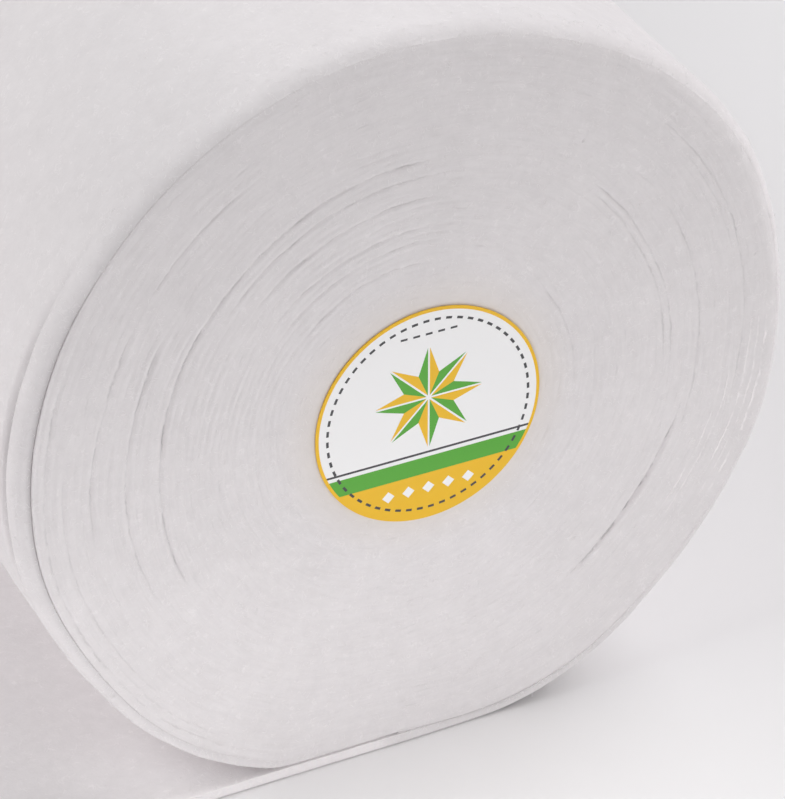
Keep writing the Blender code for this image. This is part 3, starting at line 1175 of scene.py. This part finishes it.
def surface_points(made, wanted, count, seed):
    """Random vertices of a piece among those wanted, with their normals."""
    random = np.random.default_rng(seed)
    places = places_of(made)
    normals = np.zeros(len(places) * 3, np.float32)
    made.data.vertices.foreach_get("normal", normals)
    normals = normals.reshape(-1, 3).astype(float)
    chance = wanted(places).astype(float)
    chosen = random.choice(len(places), count, replace=False, p=chance / chance.sum())
    return places[chosen], normals[chosen]


def loose_fibres(front_turns, web, finish):
    """Loose fibres on the labelled end, on the outermost layer's front edge and on its side."""
    def on_face(places):
        radius = np.hypot(places[:, 0], places[:, 2] - AXIS_HEIGHT)
        bare = np.hypot(places[:, 0] - LABEL_X, places[:, 2] - LABEL_Z) > LABEL_RADIUS + BARE_BY_LABEL
        return radius * bare * (places[:, 1] < FACE_BAND - HALF_LENGTH)

    def on_rim(places):
        return (places[:, 1] < RIM_BAND - HALF_LENGTH) * (places[:, 2] > BARE_BY_FLOOR)

    def on_side(places):
        return (np.abs(places[:, 1]) < HALF_LENGTH - SIDE_INSET) * (places[:, 2] > BARE_BY_FLOOR)

    for row, ground, wanted in zip(FIBRES, (front_turns, web, web), (on_face, on_rim, on_side)):
        anchors, outwards = surface_points(ground, wanted, row["count"], row["seeds"][0])
        fibre_tuft(row["name"], anchors, outwards, row["lengths"], row["lift"], row["seeds"][1], finish)


# Camera, floor and light

def camera():
    data = bpy.data.cameras.new("camera")
    data.sensor_width = SENSOR_WIDTH
    data.lens = FOCAL_PIXELS * SENSOR_WIDTH / LONG_SIDE_PIXELS
    data.clip_start = 0.01
    made = placed("camera", data)
    made.location = Vector((0.0, ROLL_LOW.y, AXIS_HEIGHT)) + CAMERA_RADII * ROLL_RADIUS
    level = math.cos(CAMERA_PITCH)
    ahead, aside = math.cos(CAMERA_YAW) * level, math.sin(CAMERA_YAW) * level
    forward = Vector((aside, ahead, -math.sin(CAMERA_PITCH)))
    turn_to(made, forward)
    bpy.context.scene.camera = made


# The floor, the room and the lamps: their places and sizes in metres, and their power in watts
FLOOR_HALF_SIZE = 6.0
FLOOR_COLOUR = (0.83, 0.82, 0.825, 1.0)
ROOM_COLOUR = (0.80, 0.79, 0.80, 1.0)
ROOM_STRENGTH = 0.12
LAMPS = table(
    "name place aim size power colour",
    ("softbox_right", (1.6, -0.2, 1.8), (0.2, -0.3, 0.0), (1.6, 1.6), 33.0, (0.97, 0.97, 1.0)),
    ("softbox_left", (-1.8, 0.0, 1.8), (0.0, -0.2, 0.1), (1.6, 1.6), 25.4, (0.97, 1.0, 0.99)),
    ("fill_front", (0.7, -2.5, 1.6), (0.0, -0.4, 0.1), (1.8, 1.2), 11.6, (0.95, 1.0, 0.99)),
    ("fill_left", (-1.9, -1.7, 0.9), (0.0, -0.4, 0.1), (1.4, 1.0), 8.9, (1.0, 0.94, 0.96)),
    ("floor_glow", (1.3, -0.9, 1.2), (0.42, -0.48, 0.0), (0.8, 0.8), 5.4, (1.0, 0.93, 0.88)),
    ("fill_back", (0.4, 2.6, 1.2), (0.0, 0.45, 0.15), (1.6, 1.2), 8.0, (1.0, 1.0, 1.0)),
    ("loose_end_glow", (-0.48, -0.22, 0.48), (-0.12, -0.33, 0.0), (0.3, 0.3), 0.46, (1.0, 0.95, 0.95)),
    ("card_far", (-0.05, -0.85, 0.03), (-0.05, -0.45, 0.35), (0.9, 0.3), 0.21, (1.0, 1.0, 1.0)),
    ("card_near", (-0.06, -0.60, 0.012), (-0.02, -0.45, 0.14), (0.55, 0.14), 0.27, (1.0, 1.0, 1.0)),
)


def area_light(lamp):
    data = bpy.data.lights.new(lamp["name"], "AREA")
    data.shape = "RECTANGLE"
    data.size, data.size_y = lamp["size"]
    data.energy = lamp["power"]
    data.color = lamp["colour"]
    made = placed(lamp["name"], data)
    made.location = lamp["place"]
    turn_to(made, Vector(lamp["aim"]) - Vector(lamp["place"]))


def studio():
    """A pale floor under soft light from above, with a bright room around."""
    mesh = bmesh.new()
    bmesh.ops.create_grid(mesh, x_segments=1, y_segments=1, size=FLOOR_HALF_SIZE)
    data = bpy.data.meshes.new("floor")
    mesh.to_mesh(data)
    mesh.free()
    data.materials.append(flat_finish("floor_paint", FLOOR_COLOUR, 0.7))
    floor = placed("floor", data)

    world = bpy.data.worlds.new("room")
    world.use_nodes = True
    background = world.node_tree.nodes["Background"]
    background.inputs["Color"].default_value = ROOM_COLOUR
    background.inputs["Strength"].default_value = ROOM_STRENGTH
    bpy.context.scene.world = world
    for lamp in LAMPS:
        area_light(lamp)
    bpy.context.scene.view_settings.view_transform = "Standard"


def main():
    camera()
    studio()
    fleece = fleece_group()
    face_finish = batting_finish("batting_edges", fleece, 1.0, 0.44, turn_lines_group())
    web_finish = batting_finish("batting_web", fleece, 0.0, 0.36)
    front_turns = wound_body("wound_turns_front", FRONT_TURNS, FRONT_STEPS, FRONT_ACROSS, True, face_finish)
    back_turns = wound_body("wound_turns_back", BACK_TURNS, BACK_STEPS, BACK_ACROSS, False, face_finish)
    for turns in (front_turns, back_turns):
        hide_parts("wound_roll")
    web = outer_web(web_finish)
    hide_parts("loose_end")
    loose_fibres(front_turns, web, flat_finish("loose_fibre", FIBRE_COLOUR, 0.8))
    label = end_label(label_finish())
    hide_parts("end_label")


main()
